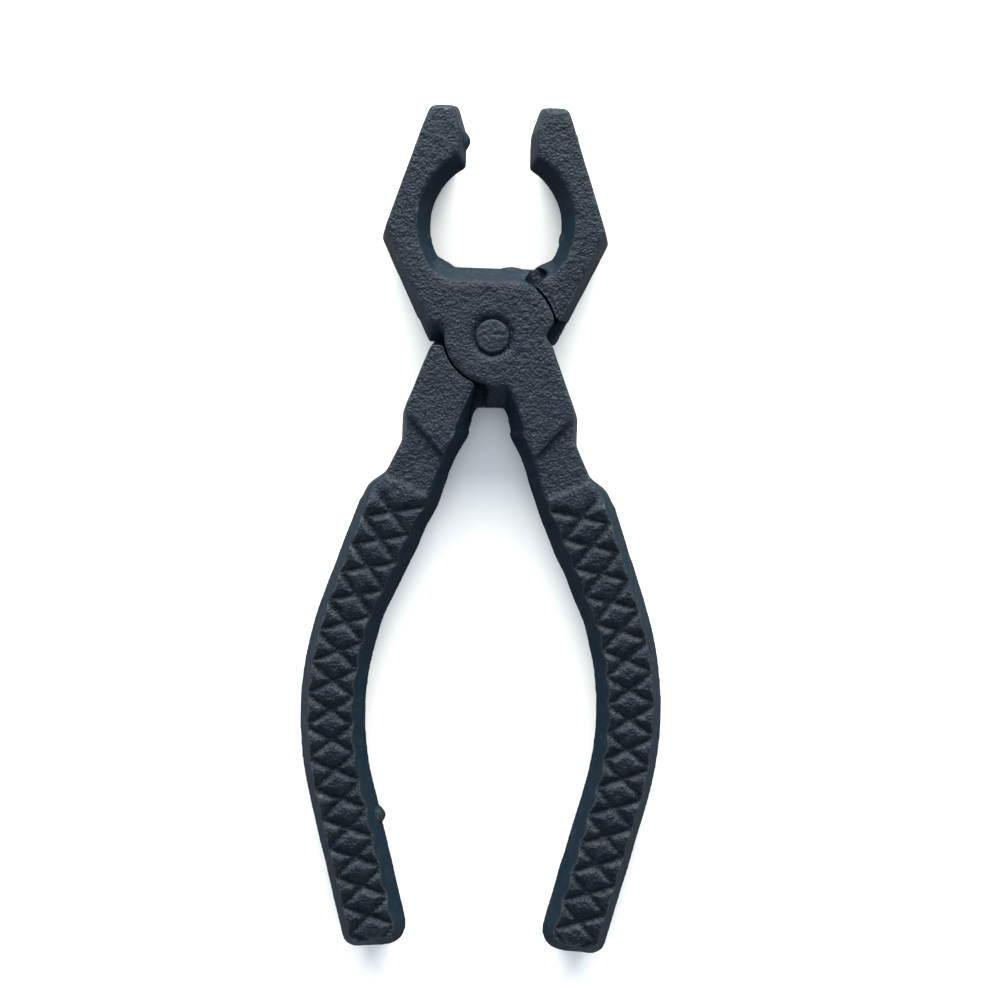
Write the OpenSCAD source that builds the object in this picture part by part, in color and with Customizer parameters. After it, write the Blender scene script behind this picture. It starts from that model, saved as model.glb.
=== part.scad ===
// Blacksmith tongs: two identical lapped castings turning on one rivet.
// Lying flat on Z = 0, jaws towards +Y, front face up.

/* [Overall] */
// Length from the jaw tips to the handle ends
overall_length = 200; // [160:1:260]
// Distance from the pivot to the jaw tips
jaw_length = 55; // [48:0.5:62]
// Full thickness of jaws and handles
thickness = 14; // [12:0.5:18]
// How far an outer side wall leans in between the parting plane and a face
draft = 2.5; // [1.5:0.1:3]
// How far the inner walls of the handles lean in
inner_draft = 3.2; // [2:0.1:4]
// How far the nearly upright outer walls of jaws and neck lean in
upright_draft = 0.3; // [0.1:0.1:1]

/* [Jaws] */
// Half width across the jaw shoulders
jaw_half_width = 26.9; // [24:0.1:30]
// Height of the jaw shoulders above the pivot
shoulder_y = 23; // [20:0.5:26]
// Half width across the tips, outside
tip_half_width = 16.2; // [14:0.1:18]
// Half width of the mouth between the tips
mouth_half = 7.5; // [6:0.1:9]
// Radius of the round jaw opening at the parting plane
eye_r = 15.5; // [13:0.1:17]
// Radius of the round jaw opening at a face
eye_face_r = 18.8; // [16:0.1:20]
// Height of the centre of the round opening above the pivot
eye_y = 26.5; // [24:0.5:29]
// Height of the flat floor of the opening above the pivot
eye_floor_y = 17; // [15:0.5:19]
// How far the floor of the opening slopes back between parting plane and face
floor_slope = 4.6; // [3:0.1:6]

/* [Lap joint] */
// Radius of the lap shoulder on the jaw side
jaw_lap_r = 15.2; // [14:0.1:16.5]
// Radius of the lap shoulder on the handle side
handle_lap_r = 11.4; // [10:0.1:12.5]
// Gap between the two castings at the laps
lap_gap = 0.25; // [0.1:0.05:0.4]
// Half width of the waist
waist_half = 14.6; // [13:0.1:16]
// How far the waist lies below the pivot
waist_y = 2.3; // [1.5:0.1:3]
// How far below the pivot the crotch between the handles lies
crotch_y = 17.1; // [15:0.1:19]
// How far the jaws can close from the rest pose
closing_deg = 10; // [6:0.5:11]

/* [Rivet] */
// Radius of the rivet shank
shank_r = 3; // [2.5:0.1:3.5]
// Running clearance of the rivet in the rear casting
running_gap = 0.05; // [0.02:0.01:0.1]
// Radius of each formed head
head_r = 4; // [3.6:0.1:4.4]
// Radius of the recess around each head
recess_r = 4.9; // [4.6:0.1:5.4]
// Depth of the recess around each head
recess_depth = 1.2; // [0.8:0.1:2]

/* [Handles] */
// Width of a grip at the parting plane
grip_width = 15.5; // [13:0.1:18]
// Bend radius of the bowed part of a grip
bow_r = 73; // [65:1:80]
// Lean of the upper part of a grip
upper_lean = 21; // [18:0.5:24]
// Lean of the lower part of a grip, back towards the middle
lower_lean = 15; // [12:0.5:18]
// Distance of the bend centre from the middle, on the other side
bow_x = 38; // [30:0.5:45]
// Distance of the bend centre below the pivot
bow_y = 88.5; // [84:0.5:92]
// Depth of the relief at the neck
neck_relief = 1.1; // [0.4:0.1:1.4]

/* [Diamonds] */
// Spacing of the grooves along a grip
diamond_pitch = 7; // [6:0.1:8]
// Depth of the grooves
groove_depth = 1.3; // [0.8:0.1:1.6]
// Angle of the grooves from square across the grip
groove_angle = 32; // [26:1:36]

/* [Hidden] */

half_t = thickness / 2;
handle_length = overall_length - jaw_length;
pivot_y = overall_length / 2 - jaw_length;
layer_gap = lap_gap / 2;
reach = 60;
slack = 0.5;
iron = [0.19, 0.21, 0.24];
steel = [0.24, 0.25, 0.27];
$fn = 96;

// Straight upper length of a grip, from the bow up to the shoulder under the neck
upper_length = 24;
end_inner_radius = 5;
end_outer_radius = 3.4;
tip_corner = 1.5;
shoulder_corner = 2.5;

function unit(v) = v / norm(v);

// Corners of a convex outline, each cut back by its own radius and split into short chords
function rounded(points, radii, steps) = [
  for (i = [0 : len(points) - 1])
    let (
      n = len(points),
      p = points[i],
      a = unit(points[(i + n - 1) % n] - p),
      b = unit(points[(i + 1) % n] - p),
      half_angle = acos(a * b) / 2,
      r = radii[i],
      c = p + unit(a + b) * r / sin(half_angle),
      from = p + a * r / tan(half_angle) - c,
      turn = (180 - 2 * half_angle)
    )
    for (k = [0 : (r > 0 ? steps : 0)])
      r > 0
      ? c + [
          from.x * cos(turn * k / steps) + from.y * sin(turn * k / steps),
          from.y * cos(turn * k / steps) - from.x * sin(turn * k / steps)
        ]
      : p
];

// Everything outside the wall that leans in from the edge p to q at the parting plane.
// The outline runs clockwise, so outside is on the left of the edge.
module outside_wall(p, q, lean) {
  d = q - p;
  translate([p.x, p.y, 0])
    rotate([0, 0, atan2(d.y, d.x)])
      translate([-reach, 0, 0])
        rotate([90, 0, 90])
          linear_extrude(height = norm(d) + 2 * reach)
            polygon([
              [0, 0],
              [-2 * lean, -2 * half_t],
              [reach, -2 * half_t],
              [reach, 2 * half_t],
              [-2 * lean, 2 * half_t]
            ]);
}

// A convex plate whose side walls lean in from the parting plane towards both faces.
// leans gives the lean of each edge; 0 leaves that edge upright.
module drafted(points, leans) {
  n = len(points);
  low = [min([for (p = points) p.x]), min([for (p = points) p.y])];
  high = [max([for (p = points) p.x]), max([for (p = points) p.y])];
  difference() {
    translate([low.x - 1, low.y - 1, -half_t])
      cube([high.x - low.x + 2, high.y - low.y + 2, thickness]);
    for (i = [0 : n - 1])
      outside_wall(points[i], points[(i + 1) % n], leans[i]);
  }
}

// The round opening between the jaws, with its sloped floor and the floor's eased corners
module eye() {
  floor_half = 9.4;
  corner_x = 13.7;
  corner_y = 19.2;
  difference() {
    translate([0, eye_y, 0])
      rotate_extrude()
        polygon([
          [0, -2 * half_t],
          [2 * eye_face_r - eye_r, -2 * half_t],
          [eye_r, 0],
          [2 * eye_face_r - eye_r, 2 * half_t],
          [0, 2 * half_t]
        ]);
    eye_wall([-floor_half, eye_floor_y], [floor_half, eye_floor_y]);
    eye_wall([-corner_x, corner_y], [-floor_half, eye_floor_y]);
    eye_wall([floor_half, eye_floor_y], [corner_x, corner_y]);
  }
}

// Metal on the right of the line from p to q, its wall leaning back towards the faces
module eye_wall(p, q) {
  d = q - p;
  translate([p.x, p.y, 0])
    rotate([0, 0, atan2(d.y, d.x)])
      translate([-reach, 0, 0])
        rotate([90, 0, 90])
          linear_extrude(height = norm(d) + 2 * reach)
            polygon([
              [0, 0],
              [-2 * floor_slope, 2 * half_t],
              [-reach, 2 * half_t],
              [-reach, -2 * half_t],
              [-2 * floor_slope, -2 * half_t]
            ]);
}

// Left jaw over the full thickness
module jaw() {
  lower_end_y = -1.7;
  lower_end_x = 15;
  mouth_corner_y = 47.5;
  tip_inner_x = 9.6;
  corners = [
    [-mouth_half, lower_end_y],
    [-lower_end_x, lower_end_y],
    [-jaw_half_width, shoulder_y],
    [-tip_half_width, jaw_length],
    [-tip_inner_x, jaw_length],
    [-mouth_half, mouth_corner_y]
  ];
  steps = 3;
  outline = rounded(corners, [0, 0, shoulder_corner, tip_corner, 0, 0], steps);
  n = len(outline);
  // Lower end, lower outer wall, shoulder, upper outer wall, tip, mouth
  leans = [
    1.75 * draft,
    0.8 * draft,
    0.5 * draft, 0.3 * draft, upright_draft,
    upright_draft,
    upright_draft, 0.3 * draft, 0.4 * draft,
    0.5 * draft,
    0.6 * draft,
    0.8 * draft
  ];
  drafted(outline, leans);
}

// Upper end of the right handle, from the waist to the neck
module handle_root() {
  drafted(
    [
      [3.2, -waist_y],
      [waist_half, -waist_y],
      [20.7, -18.5],
      [20.7, -24.5],
      [18.5, -31],
      [9, -31],
      [3.2, -crotch_y]
    ],
    [0, upright_draft, 0.5 * draft, 0, 0, inner_draft, 0]
  );
}

// Neck between the root and the grip
module neck() {
  drafted(
    [[4.9, -22.5], [19.5, -22.5], [25.4, -35], [10.3, -35]],
    [0, upright_draft, 0, inner_draft]
  );
}

// Point of the grip bow at angle a above square, at a given distance from the bend centre
function on_bow(a, r = bow_r) = [r * cos(a) - bow_x, r * sin(a) - bow_y];

half_grip = grip_width / 2;

// The straight parts of a grip run a little way into the bow and are a touch fuller.
overlap_deg = 1;
fuller = 0.03;

// Shoulder and straight upper part of the right grip
module grip_upper() {
  drafted(
    [
      [9.3, -33],
      [24, -32.2],
      [28.6, -35],
      [30.4, -39.5],
      on_bow(upper_lean - overlap_deg, bow_r + half_grip + fuller),
      on_bow(upper_lean - overlap_deg, bow_r - half_grip - fuller),
      [12.6, -42.5]
    ],
    [0, 0.4 * draft, 0.7 * draft, draft, 0, inner_draft, inner_draft]
  );
}

// Bowed part of the right grip
module grip_bow() {
  translate([-bow_x, -bow_y, 0])
    rotate([0, 0, -lower_lean])
      rotate_extrude(angle = lower_lean + upper_lean)
        polygon([
          [bow_r - half_grip, 0],
          [bow_r - half_grip + inner_draft, -half_t],
          [bow_r + half_grip - draft, -half_t],
          [bow_r + half_grip, 0],
          [bow_r + half_grip - draft, half_t],
          [bow_r - half_grip + inner_draft, half_t]
        ]);
}

bow_end = on_bow(-lower_lean);
end_steps = 4;

// Outline of the straight lower part of a grip, seen along the bow's end. Its end is cut
// nearly square to the whole tool, so the inner corner reaches further along the grip.
end_overlap = bow_r * sin(overlap_deg);
end_skew = 3;
function grip_end(length) = rounded(
  [
    [-half_grip - fuller, -length],
    [-half_grip - fuller, end_overlap],
    [half_grip + fuller, end_overlap],
    [half_grip + fuller, end_skew - length]
  ],
  [end_inner_radius, 0, 0, end_outer_radius],
  end_steps
);

// The lowest point of the end is set to the tool's full length.
end_low = min([for (p = grip_end(grip_width)) (p.y + grip_width) * cos(lower_lean) - p.x * sin(lower_lean)]);
lower_length = (handle_length + bow_end.y + end_low) / cos(lower_lean);

module grip_lower() {
  outline = grip_end(lower_length);
  n = len(outline);
  inner_edges = end_steps + 1;
  leans = [for (i = [0 : n - 1]) i == inner_edges ? 0 : (i < inner_edges ? inner_draft : draft)];
  translate([bow_end.x, bow_end.y, 0])
    rotate([0, 0, -lower_lean])
      drafted(outline, leans);
}

// Arc length of the bow; distances along the grip are counted from its upper end.
bow_length = PI * bow_r * (upper_lean + lower_lean) / 180;
bow_top = on_bow(upper_lean);

// Puts its children on the centre line of the grip, at distance s along it
module along_grip(s) {
  over = max(s - bow_length, 0);
  short = min(s, 0);
  a = upper_lean - 180 * min(max(s, 0), bow_length) / (PI * bow_r);
  p = on_bow(a) + (over + short) * [sin(a), -cos(a)];
  translate([p.x, p.y, 0])
    rotate([0, 0, a])
      children();
}

// One V groove across both faces of the grip, leaning to one side
module groove(lean, depth) {
  half_width = 1.25 * depth;
  length = 1.6 * grip_width;
  for (side = [0, 1])
    mirror([0, 0, side])
      translate([0, 0, half_t])
        rotate([90, 0, 90 + lean])
          translate([0, 0, -length / 2])
            linear_extrude(height = length)
              polygon([[0, -depth], [2 * half_width, depth], [-2 * half_width, depth]]);
}

// Criss-cross grooves that leave a row of diamonds on both faces of the grip. Those
// leaning one way are a little shallower than those leaning the other.
module diamonds() {
  for (s = [-upper_length + 2 : diamond_pitch : bow_length + lower_length - 2])
    along_grip(s) {
      groove(groove_angle, groove_depth);
      groove(-groove_angle, 0.93 * groove_depth);
    }
}

// Shallow relief on both faces between the lap plate and the ridge above the grip
module neck_reliefs() {
  for (side = [0, 1])
    mirror([0, 0, side])
      translate([0, 0, half_t - neck_relief])
        linear_extrude(height = 2 * neck_relief)
          polygon([[21.5, -16.3], [28, -31.4], [11, -39.2], [7.5, -32]]);
}

// Height above the pivot of the jaw's lower end in the layer where it laps the other boss
notch_top = 4.2;
// Directions, from the pivot, in which each boss meets the eye's floor and the crotch. The
// other casting's jaw and handle keep the closing angle and a degree away from them.
eye_edge_deg = 61.5;
crotch_edge_deg = 4.5;
sweep_deg = closing_deg + 1;
sweep_r = 20;

// Lap boss on the front layer: joins the left jaw to the right handle
module boss() {
  above = eye_floor_y + 3;
  below = crotch_y + 1;
  difference() {
    translate([0, 0, layer_gap])
      linear_extrude(height = half_t - layer_gap)
        union() {
          circle(r = handle_lap_r);
          intersection() {
            circle(r = jaw_lap_r);
            translate([-mouth_half, -waist_y])
              square([2 * reach, reach]);
          }
          polygon([
            [-14, notch_top],
            [-14, above],
            [above / tan(eye_edge_deg), above],
            [notch_top / tan(eye_edge_deg), notch_top]
          ]);
          polygon([
            [0, 0],
            [7.3, 0],
            [7.3, -below],
            [-below * tan(crotch_edge_deg), -below]
          ]);
        }
    // Notch beside the handle that the other jaw's lower end swings into
    linear_extrude(height = thickness)
      polygon([[14.6, notch_top], [12.4, 0.6], [waist_half, -waist_y], [20, -waist_y], [20, notch_top]]);
    outside_wall([reach, -crotch_y], [-reach, -crotch_y], 1.25 * floor_slope);
  }
}

// Room in the back layer for the other casting's boss and for its travel
module lap_room() {
  fit = 0.25;
  deep = 2 * thickness;
  above = eye_floor_y + 8;
  below = crotch_y + 8;
  eye_side = above / tan(eye_edge_deg - sweep_deg);
  crotch_side = below * tan(crotch_edge_deg + sweep_deg);
  translate([0, 0, layer_gap - deep])
    linear_extrude(height = deep)
      union() {
        circle(r = handle_lap_r + fit);
        intersection() {
          circle(r = jaw_lap_r + fit);
          translate([-reach, 0])
            square([reach, reach]);
        }
        intersection() {
          circle(r = sweep_r);
          union() {
            polygon([[0, 0], [-eye_side, above], [0, above]]);
            polygon([[0, 0], [0, -below], [crotch_side, -below]]);
          }
        }
        translate([-reach, -waist_y - slack])
          square([reach, waist_y + slack + notch_top]);
      }
}

// One casting, drawn as the front one: left jaw, front boss, right handle
module casting(bore_r) {
  difference() {
    union() {
      difference() {
        union() {
          jaw();
          handle_root();
        }
        lap_room();
      }
      boss();
      neck();
      grip_upper();
      grip_bow();
      grip_lower();
    }
    eye();
    neck_reliefs();
    diamonds();
    // Recess for a rivet head, and the bore
    translate([0, 0, half_t - recess_depth])
      cylinder(r = recess_r, h = 2 * recess_depth);
    translate([0, 0, -thickness])
      cylinder(r = bore_r, h = 2 * thickness);
  }
}

// Lifts a piece drawn about the pivot on the middle plane to its place on the rest plane
module placed() {
  translate([0, pivot_y, half_t])
    children();
}

module front_half() {
  color(iron)
    placed()
      casting(shank_r);
}

module rear_half() {
  color(iron)
    placed()
      rotate([0, 180, 0])
        casting(shank_r + running_gap);
}

module pivot_rivet() {
  head_gap = 0.1;
  color(steel)
    placed() {
      translate([0, 0, -half_t])
        cylinder(r = shank_r, h = thickness);
      translate([0, 0, half_t - recess_depth])
        cylinder(r = head_r, h = recess_depth);
      translate([0, 0, -half_t])
        cylinder(r = head_r, h = recess_depth - head_gap);
    }
}

front_half();
rear_half();
pivot_rivet();
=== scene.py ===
import math

import bmesh
import bpy
import numpy as np
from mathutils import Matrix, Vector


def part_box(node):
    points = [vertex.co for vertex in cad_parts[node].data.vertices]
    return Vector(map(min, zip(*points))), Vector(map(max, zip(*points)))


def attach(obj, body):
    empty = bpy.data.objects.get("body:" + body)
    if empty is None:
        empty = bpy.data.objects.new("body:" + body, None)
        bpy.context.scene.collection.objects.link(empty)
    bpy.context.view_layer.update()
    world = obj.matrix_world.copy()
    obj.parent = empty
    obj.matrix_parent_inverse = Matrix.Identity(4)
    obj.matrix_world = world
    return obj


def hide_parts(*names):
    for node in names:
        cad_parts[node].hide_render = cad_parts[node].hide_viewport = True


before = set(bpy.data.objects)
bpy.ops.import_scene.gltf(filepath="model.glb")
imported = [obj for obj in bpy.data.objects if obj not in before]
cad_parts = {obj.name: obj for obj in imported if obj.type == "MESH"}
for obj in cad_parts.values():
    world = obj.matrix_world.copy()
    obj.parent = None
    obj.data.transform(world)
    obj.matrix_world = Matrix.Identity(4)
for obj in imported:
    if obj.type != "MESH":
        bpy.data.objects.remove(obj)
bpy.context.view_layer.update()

# Lengths are millimetres in the part's own frame, unless a comment says metres.
MM = 0.001
PIVOT = np.array([0, 45.0, 7.0])    # middle of the rivet
CAST_VOXEL = 0.00037                # metres
RIVET_VOXEL = 0.00016               # metres
EASE = 0.5                          # share of the way to its neighbours' mean that a point moves
SHOULDER = (28.3, -34.6)            # outer corner where a grip starts, from the pivot
GRAIN_MEAN = 0.45                   # middle height of the pebbles pattern

# relief of the cast surface
GRAIN_SIZE, GRAIN_HEIGHT = 0.95, 0.24
FINE_SIZE, FINE_HEIGHT = 0.8, 0.12
WIDE_SIZE, WIDE_HEIGHT = 3.2, 0.08
WALL_FINE, WALL_WIDE = 0.015, 0.045
RELIEF_LIMIT = 0.24
FACE_SINK = 0.10                    # the sandy faces start this much lower, so grains stay in bounds
SEAM_WIDTH, SEAM_LOW, SEAM_EXTRA = 0.45, 0.05, 0.11
LEG_WANDER = 0.50                   # sideways drift of the legs' inner walls
ARM_DROP = 0.38                     # step down from the lap boss to the arm beside it
RIVET_HEAD_R = 4.0
RIVET_DROP_LIMIT = 0.7

# base colours, linear
IRON = {
    "deep": (0.0040, 0.0098, 0.0170),
    "plain": (0.0058, 0.0128, 0.0205),
    "pale": (0.012, 0.020, 0.027),
    # painted highlight: glints on the sandy faces
    "painted_glint": (0.050, 0.061, 0.063),
    # painted shade in creases and hollows
    "hollow_shade": (0.0012, 0.0035, 0.0065),
    # edge wear, partly a painted highlight on lit edges
    "edge_wear_and_highlight": (0.056, 0.068, 0.070),
    "grip_flat_shade": (0.0022, 0.0052, 0.0090),
    # painted shade on the grip's flat parts
    "grip_slope_highlight": (0.028, 0.034, 0.034),
# painted highlight on the grip's sloping sides
}
STEEL = {
    "plain": (0.0046, 0.0110, 0.0185),
    "pale": (0.010, 0.018, 0.025),
    # painted highlight: glints on the head
    "painted_glint": (0.050, 0.061, 0.063),
    # painted shade in creases and hollows
    "hollow_shade": (0.003, 0.007, 0.012),
}
PAPER = {"dark": (0.93, 0.93, 0.93), "light": (0.95, 0.95, 0.95)}

FLAWS = {
    # node: (centre, radii, push) of lumps left by the mould
    "front_half": [
        ((-7.5, 91.5, 7), (2.0, 2.2, 3.0), (0.9, 0, 0)),
        ((4.0, 62.0, 7.6), (3.0, 1.2, 1.6), (0, 0.6, 0)),
    ],
    "rear_half": [
        ((-23.6, -68.5, 7), (2.2, 2.2, 3.0), (1.3, 0, 0)),
        ((18.2, 93.0, 7), (1.6, 1.2, 2.5), (0.35, 0, 0)),
        ((15.6, 69.0, 7), (1.4, 1.4, 2.5), (-0.4, 0, 0)),
    ],
}


# ---------------------------------------------------------------- noise on points (mm)
def hash3(i, j, k, seed):
    h = (i * 374761393 + j * 668265263 + k * 2147483647 + seed * 144665) & 0xFFFFFFFF
    h = ((h ^ (h >> 13)) * 1274126177) & 0xFFFFFFFF
    return ((h ^ (h >> 16)) & 0xFFFF) / 65535.0


def value_noise(p, size, seed):
    """Smooth noise from -1 to 1 with features about size across."""
    q = p / size + 1000.0
    i = np.floor(q).astype(np.int64)
    f = q - i
    f = f * f * (3 - 2 * f)
    out = np.zeros(len(p))
    for dx in (0, 1):
        for dy in (0, 1):
            for dz in (0, 1):
                w = (
                    (f[:, 0] if dx else 1 - f[:, 0])
                    * (f[:, 1] if dy else 1 - f[:, 1])
                    * (f[:, 2] if dz else 1 - f[:, 2])
                )
                out += w * hash3(i[:, 0] + dx, i[:, 1] + dy, i[:, 2] + dz, seed)
    return out * 2 - 1


def pebbles(p, size, seed):
    """Distance to the nearest of scattered points, as a height from 0 to 1: rounded sand grains."""
    q = p / size + 1000.0
    i = np.floor(q).astype(np.int64)
    best = np.full(len(p), 9.0)
    for dx in (-1, 0, 1):
        for dy in (-1, 0, 1):
            for dz in (-1, 0, 1):
                a, b, c = i[:, 0] + dx, i[:, 1] + dy, i[:, 2] + dz
                cell = (a, b, c)
                s = np.stack([cell[n] + hash3(a, b, c, seed + n) for n in range(3)], axis=1)
                best = np.minimum(best, ((q - s) ** 2).sum(1))
    return np.clip(1 - np.sqrt(best), 0, 1)


def ramp(x, lo, hi):
    t = np.clip((x - lo) / (hi - lo), 0, 1)
    return t * t * (3 - 2 * t)


# ---------------------------------------------------------------- meshes
def remeshed(node, name, voxel):
    """A closed, even mesh over a CAD node, as a new object in the same place."""
    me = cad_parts[node].data.copy()
    me.name = name
    bm = bmesh.new()
    bm.from_mesh(me)
    bmesh.ops.remove_doubles(bm, verts=bm.verts, dist=2e-6)
    bm.to_mesh(me)
    bm.free()
    ob = bpy.data.objects.new(name, me)
    bpy.context.scene.collection.objects.link(ob)
    mod = ob.modifiers.new("remesh", "REMESH")
    mod.mode = "VOXEL"
    mod.voxel_size = voxel
    mod.adaptivity = 0
    dg = bpy.context.evaluated_depsgraph_get()
    new = bpy.data.meshes.new_from_object(ob.evaluated_get(dg))
    new.name = name
    ob.modifiers.clear()
    ob.data = new
    bpy.data.meshes.remove(me)
    return ob


def points(me):
    v = np.empty(len(me.vertices) * 3)
    me.vertices.foreach_get("co", v)
    return v.reshape(-1, 3) / MM


def set_points(me, v):
    me.vertices.foreach_set("co", (v * MM).ravel())
    me.update()


def normals(me):
    n = np.empty(len(me.vertices) * 3)
    me.vertex_normals.foreach_get("vector", n)
    return n.reshape(-1, 3)


def smoothed(me, v, rounds, weight=EASE):
    """Rounds edges and corners off, as a casting's are; weight may vary from point to point."""
    e = np.empty(len(me.edges) * 2, np.int64)
    me.edges.foreach_get("vertices", e)
    e = e.reshape(-1, 2)
    count = np.bincount(e.ravel(), minlength=len(v))[:, None]
    weight = np.broadcast_to(np.asarray(weight, float), (len(v),))[:, None]
    start, end = e.T
    for _ in range(rounds):
        total = np.stack(
            [
                np.bincount(start, v[end, k], len(v)) + np.bincount(end, v[start, k], len(v))
                for k in range(3)
            ],
            axis=1,
        )
        v = v + weight * (total / count - v)
    return v


def lump(v, centre, radii, push):
    """How far each point moves for a rounded lump of metal at centre."""
    d = np.sqrt((((v - np.array(centre)) / np.array(radii)) ** 2).sum(1))
    return np.clip(1 - d * d, 0, 1)[:, None] ** 1.2 * np.array(push, float)


def from_pivot(v):
    """Each point's place from the rivet's middle, and its distance from the rivet's axis."""
    rel = v - PIVOT
    return rel, np.hypot(rel[:, 0], rel[:, 1])


def eased(me):
    """The castings' points after their edges are rounded, some places more than others."""
    v = points(me)
    rel, r = from_pivot(v)
    depth = np.abs(rel[:, 2])
    # the diamonds on the grips keep sharper edges
    on_grip = ramp(-rel[:, 1], 38.0, 40.0) * ramp(depth, 3.2, 4.6)
    v = smoothed(me, v, 7, EASE - 0.34 * on_grip)
    # the steps of the lap and the rim round the rivet are worn and blurred
    step = (1 - ramp(r, 17.5, 20.0)) * ramp(depth, 2.6, 4.2)
    v = smoothed(me, v, 14, EASE * step)
    # the jaw tips and the grip's shoulders are well rounded
    v = smoothed(me, v, 30, EASE * ramp(rel[:, 1], 49.0, 53.5))
    far = np.hypot(np.abs(rel[:, 0]) - SHOULDER[0], rel[:, 1] - SHOULDER[1])
    return smoothed(me, v, 110, EASE * (1 - ramp(far, 3.0, 5.2)))


def relief(v, rel, rough, wall):
    """Height of the cast surface: sandy faces, smoother walls, flash along the parting line."""
    grain = pebbles(v, GRAIN_SIZE, 11) - GRAIN_MEAN
    fine = value_noise(v, FINE_SIZE, 5)
    wide = value_noise(v, WIDE_SIZE, 9)
    d = rough * (GRAIN_HEIGHT * grain + FINE_HEIGHT * fine + WIDE_HEIGHT * wide)
    d += wall * (WALL_WIDE * wide + WALL_FINE * fine)
    seam = np.exp(-((rel[:, 2] / SEAM_WIDTH) ** 2)) * wall
    d += seam * (SEAM_LOW + SEAM_EXTRA * ramp(value_noise(v, 5.0, 21), -0.2, 0.9))
    return d


def wander(v, rel, n):
    """Sideways drift of the legs' inner walls, where the mould was patched."""
    leg = ramp(-rel[:, 1], 17.0, 23.0) * ramp(rel[:, 1], -84.0, -50.0)
    inner = ramp(-n[:, 0] * np.sign(rel[:, 0]), 0.35, 0.7)
    wave = value_noise(v * np.array([0.2, 1.0, 0.25]), 5.5, 41)
    return np.sign(rel[:, 0]) * LEG_WANDER * leg * inner * (wave - 0.1)


def finish(ob, node, body, v, material):
    """Puts the points in place, inside the node's box, and hands the piece to the frame."""
    me = ob.data
    lo, hi = (np.array(b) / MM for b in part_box(node))
    set_points(me, np.clip(v, lo, hi))
    me.polygons.foreach_set("use_smooth", [True] * len(me.polygons))
    me.update()
    me.materials.clear()
    me.materials.append(material)
    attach(ob, body)
    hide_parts(node)


def cast(node, name, body, material):
    """The casting as it comes from the sand: rounded edges, pebbled faces, a trace of flash."""
    ob = remeshed(node, name, CAST_VOXEL)
    v = eased(ob.data)
    set_points(ob.data, v)
    n = normals(ob.data)

    rel, r = from_pivot(v)
    top = np.sign(rel[:, 2])
    depth = np.abs(rel[:, 2])
    face = ramp(np.abs(n[:, 2]), 0.5, 0.85)
    outside = ramp(depth, 3.5, 5.0)
    # the lap faces inside the joint stay clean, and so does the recess round the rivet
    lap = (1 - ramp(r, 16.0, 18.0)) * (1 - ramp(depth, 4.2, 5.6))
    rough = face * outside * (1 - 0.20 * ramp(-rel[:, 1], 35.0, 38.0))
    d = relief(v, rel, rough, (1 - face) * (1 - lap)) * (1 - lap)
    v = v + n * np.minimum(d, RELIEF_LIMIT)[:, None] - n * FACE_SINK * (rough * (1 - lap))[:, None]
    v[:, 0] -= wander(v, rel, n)
    # the hidden layer's arm sits a little lower than the boss beside it
    arm_side = top * (-1 if node == "front_half" else 1)
    low = np.clip(arm_side, 0, 1) * outside * (1 - ramp(r, 19.0, 27.0)) * (1 - lap)
    v[:, 2] -= top * ARM_DROP * low * face
    for centre, radii, push in FLAWS[node]:
        v = v + lump(v, centre, radii, push)
    finish(ob, node, body, v, material)


def rivet(material):
    """The rivet's heads are hammered: crowned a little, dented, with a rolled edge."""
    ob = remeshed("pivot_rivet", "rivet", RIVET_VOXEL)
    v = smoothed(ob.data, points(ob.data), 22)
    rel, r = from_pivot(v)
    ends = ramp(np.abs(rel[:, 2]), 6.0, 6.7)
    crown = 0.12 + 0.16 * (r / RIVET_HEAD_R) ** 2
    dents = 0.20 * (pebbles(v, 1.2, 31) - GRAIN_MEAN) + 0.08 * value_noise(v, 0.7, 33)
    v[:, 2] -= np.sign(rel[:, 2]) * np.clip(ends * (crown - dents), 0, RIVET_DROP_LIMIT)
    finish(ob, "pivot_rivet", "front_arm", v, material)


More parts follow.
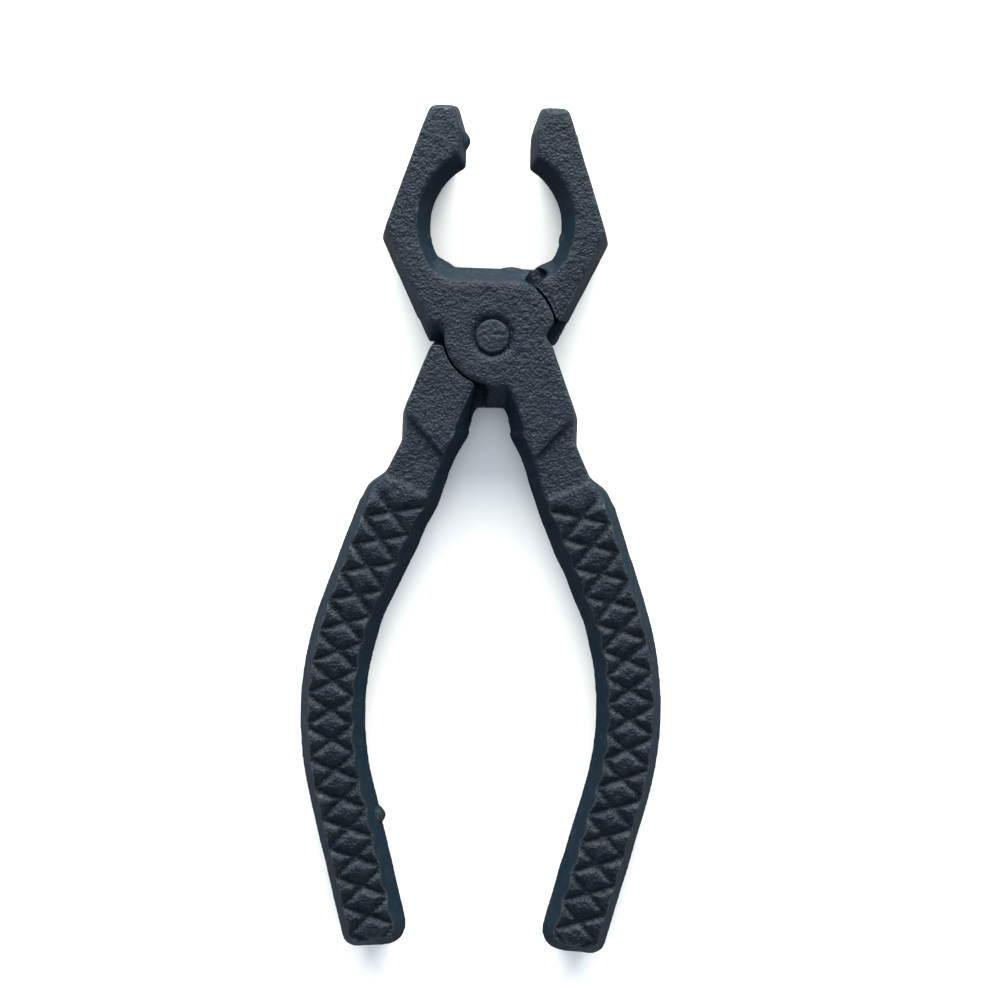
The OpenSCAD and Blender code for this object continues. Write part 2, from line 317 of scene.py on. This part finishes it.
# ---------------------------------------------------------------- materials
class Nodes:
    """Short hand for building one material's node tree."""

    def __init__(self, name):
        self.mat = bpy.data.materials.new(name)
        self.mat.use_nodes = True
        self.tree = self.mat.node_tree
        self.bsdf = self.tree.nodes["Principled BSDF"]
        self.coord = self.tree.nodes.new("ShaderNodeTexCoord").outputs["Object"]
        geo = self.tree.nodes.new("ShaderNodeNewGeometry")
        self.normal, self.pointiness = geo.outputs["Normal"], geo.outputs["Pointiness"]

    def new(self, kind, inputs=None, **props):
        node = self.tree.nodes.new(kind)
        for k, val in props.items():
            setattr(node, k, val)
        for k, val in (inputs or {}).items():
            if hasattr(val, "is_output"):
                self.tree.links.new(val, node.inputs[k])
            else:
                node.inputs[k].default_value = val
        return node

    def noise(self, scale, detail=3.0, rough=0.55):
        inputs = {"Vector": self.coord, "Scale": scale, "Detail": detail, "Roughness": rough}
        return self.new("ShaderNodeTexNoise", inputs).outputs["Fac"]

    def cells(self, scale):
        inputs = {"Vector": self.coord, "Scale": scale}
        return self.new("ShaderNodeTexVoronoi", inputs).outputs["Distance"]

    def span(self, value, a, b, lo=0.0, hi=1.0):
        """Value from a to b, mapped to lo to hi."""
        inputs = {"Value": value, "From Min": a, "From Max": b, "To Min": lo, "To Max": hi}
        return self.new("ShaderNodeMapRange", inputs).outputs["Result"]

    def size(self, value):
        return self.new("ShaderNodeMath", {0: value}, operation="ABSOLUTE").outputs[0]

    def times(self, *values):
        out = values[0]
        for value in values[1:]:
            out = self.new("ShaderNodeMath", {0: out, 1: value}, operation="MULTIPLY").outputs[0]
        return out

    def part(self, vector, axis):
        return self.new("ShaderNodeSeparateXYZ", {0: vector}).outputs[axis]

    def mix(self, fac, a, b):
        node = self.new("ShaderNodeMix", {"Factor": fac}, data_type="RGBA")
        for sock, val in ((node.inputs[6], a), (node.inputs[7], b)):
            if hasattr(val, "is_output"):
                self.tree.links.new(val, sock)
            else:
                sock.default_value = (*val, 1)
        return node.outputs[2]

    def link(self, value, socket):
        self.tree.links.new(value, self.bsdf.inputs[socket])

    def bump(self, *layers):
        """Each layer is (height, distance in metres, strength)."""
        normal = None
        for height, distance, strength in layers:
            inputs = {"Height": height, "Distance": distance, "Strength": strength}
            node = self.new("ShaderNodeBump", inputs)
            if normal is not None:
                self.tree.links.new(normal, node.inputs["Normal"])
            normal = node.outputs["Normal"]
        self.link(normal, "Normal")


def iron_material():
    m = Nodes("cast_iron_oiled")
    # how far a surface faces up or down: the cast faces are sandy, the side walls satin
    up = m.size(m.part(m.normal, "Z"))
    face = m.span(up, 0.44, 0.76)
    sand = m.noise(1900, 3, 0.6)
    grain = m.cells(1500)
    patch = m.noise(90, 4, 0.6)
    blotch = m.noise(420, 5, 0.6)
    tone = m.mix(m.span(patch, 0.35, 0.7), IRON["deep"], IRON["plain"])
    tone = m.mix(m.span(blotch, 0.5, 0.78), tone, IRON["pale"])
    # painted highlight: pale specks on the sandy faces stand in for glints of light off the grains
    tone = m.mix(m.times(m.span(sand, 0.60, 0.70), face, 0.55), tone, IRON["painted_glint"])
    # painted shade: concave creases and hollows darkened, standing in for the shade that falls there
    tone = m.mix(m.times(m.span(m.pointiness, 0.50, 0.45), 0.9), tone, IRON["hollow_shade"])
    # convex edges lighter: partly real edge wear, partly a painted highlight for the lit rims along
    # the edges
    edge_wear_and_highlight = m.times(m.span(m.pointiness, 0.515, 0.570), m.span(blotch, 0.42, 0.60))
    tone = m.mix(m.times(edge_wear_and_highlight, m.span(face, 0, 1, 0.10, 0.8)), tone, IRON["edge_wear_and_highlight"])
    # the sloping sides of the diamonds are painted lighter, a painted highlight where the key light
    # falls, and the rest of the grip is painted darker, a painted shade
    on_grip = m.span(m.part(m.coord, "Y"), 0.008, 0.005)
    slope = m.times(m.span(up, 0.93, 0.80), face)
    tone = m.mix(m.times(on_grip, face, m.span(slope, 0, 1, 0.62, 0.0)), tone, IRON["grip_flat_shade"])
    # painted highlight: the grip's sloping sides lightened where the key light would fall
    grip_slope_highlight = m.times(slope, on_grip, m.span(blotch, 0.36, 0.56), 0.45)
    tone = m.mix(grip_slope_highlight, tone, IRON["grip_slope_highlight"])
    m.link(tone, "Base Color")
    m.link(m.span(blotch, 0.3, 0.7, 0.36, 0.54), "Roughness")
    m.bsdf.inputs["Metallic"].default_value = 0.0
    gloss = m.times(m.span(face, 0, 1, 0.008, 0.135), m.span(on_grip, 0, 1, 1.0, 0.72))
    m.link(gloss, "Specular IOR Level")
    m.bump(
        (m.times(grain, face), 0.00030, 0.8),
        (m.times(sand, m.span(face, 0, 1, 0.10, 1.0)), 0.00040, 0.9),
        (blotch, 0.00012, 0.4),
    )
    return m.mat


def rivet_material():
    m = Nodes("rivet_steel_oiled")
    blotch = m.noise(500, 5, 0.6)
    sand = m.noise(1900, 3, 0.6)
    tone = m.mix(m.span(blotch, 0.35, 0.7), STEEL["plain"], STEEL["pale"])
    # painted highlight: pale specks stand in for glints of light off the head
    tone = m.mix(m.times(m.span(sand, 0.60, 0.70), 0.5), tone, STEEL["painted_glint"])
    # painted shade: concave creases and hollows darkened, standing in for the shade that falls there
    tone = m.mix(m.times(m.span(m.pointiness, 0.50, 0.44), 0.8), tone, STEEL["hollow_shade"])
    m.link(tone, "Base Color")
    m.link(m.span(blotch, 0.3, 0.7, 0.34, 0.52), "Roughness")
    m.bsdf.inputs["Metallic"].default_value = 0.1
    m.bsdf.inputs["Specular IOR Level"].default_value = 0.15
    m.bump((blotch, 0.0003, 0.5), (sand, 0.00042, 0.8))
    return m.mat


def paper_material():
    m = Nodes("floor_paper")
    m.link(m.mix(m.noise(40, 2), PAPER["dark"], PAPER["light"]), "Base Color")
    m.bsdf.inputs["Roughness"].default_value = 0.9
    m.bsdf.inputs["Specular IOR Level"].default_value = 0.1
    return m.mat


# ---------------------------------------------------------------- stage, in metres
def pale_floor():
    half = 3
    corners = [(-half, -half, 0), (half, -half, 0), (half, half, 0), (-half, half, 0)]
    me = bpy.data.meshes.new("floor")
    me.from_pydata(corners, [], [(0, 1, 2, 3)])
    me.materials.append(paper_material())
    floor = bpy.data.objects.new("floor", me)
    floor.location.z = -0.0002
    bpy.context.scene.collection.objects.link(floor)


def sky(colour, strength):
    world = bpy.data.worlds.new("studio")
    world.use_nodes = True
    background = world.node_tree.nodes["Background"]
    background.inputs["Color"].default_value = (*colour, 1)
    background.inputs["Strength"].default_value = strength
    bpy.context.scene.world = world


def softbox(name, at, width, height, watts, colour):
    """A rectangular lamp that faces the origin."""
    data = bpy.data.lights.new(name, "AREA")
    data.shape = "RECTANGLE"
    data.size = width
    data.size_y = height
    data.energy = watts
    data.color = colour
    ob = bpy.data.objects.new(name, data)
    ob.location = at
    ob.rotation_euler = (-Vector(at)).to_track_quat("-Z", "Y").to_euler()
    bpy.context.scene.collection.objects.link(ob)


def camera(at, turn, lens):
    """A camera that looks straight down, turned by some degrees; lens in mm."""
    data = bpy.data.cameras.new("camera")
    data.sensor_width = 36
    data.lens = lens
    ob = bpy.data.objects.new("camera", data)
    ob.location = at
    ob.rotation_euler = (0, 0, math.radians(turn))
    bpy.context.scene.collection.objects.link(ob)
    bpy.context.scene.camera = ob


iron = iron_material()
cast("front_half", "front_casting", "front_arm", iron)
cast("rear_half", "rear_casting", "rear_arm", iron)
rivet(rivet_material())

pale_floor()
sky((0.84, 0.93, 1.0), 0.94)
softbox("key", (0.0, 1.3, 0.50), 2.2, 0.6, 118, (1.0, 0.97, 0.91))
camera((0.0030, 0.0067, 0.547), 1.8, 82.0)
bpy.context.scene.view_settings.view_transform = "Standard"
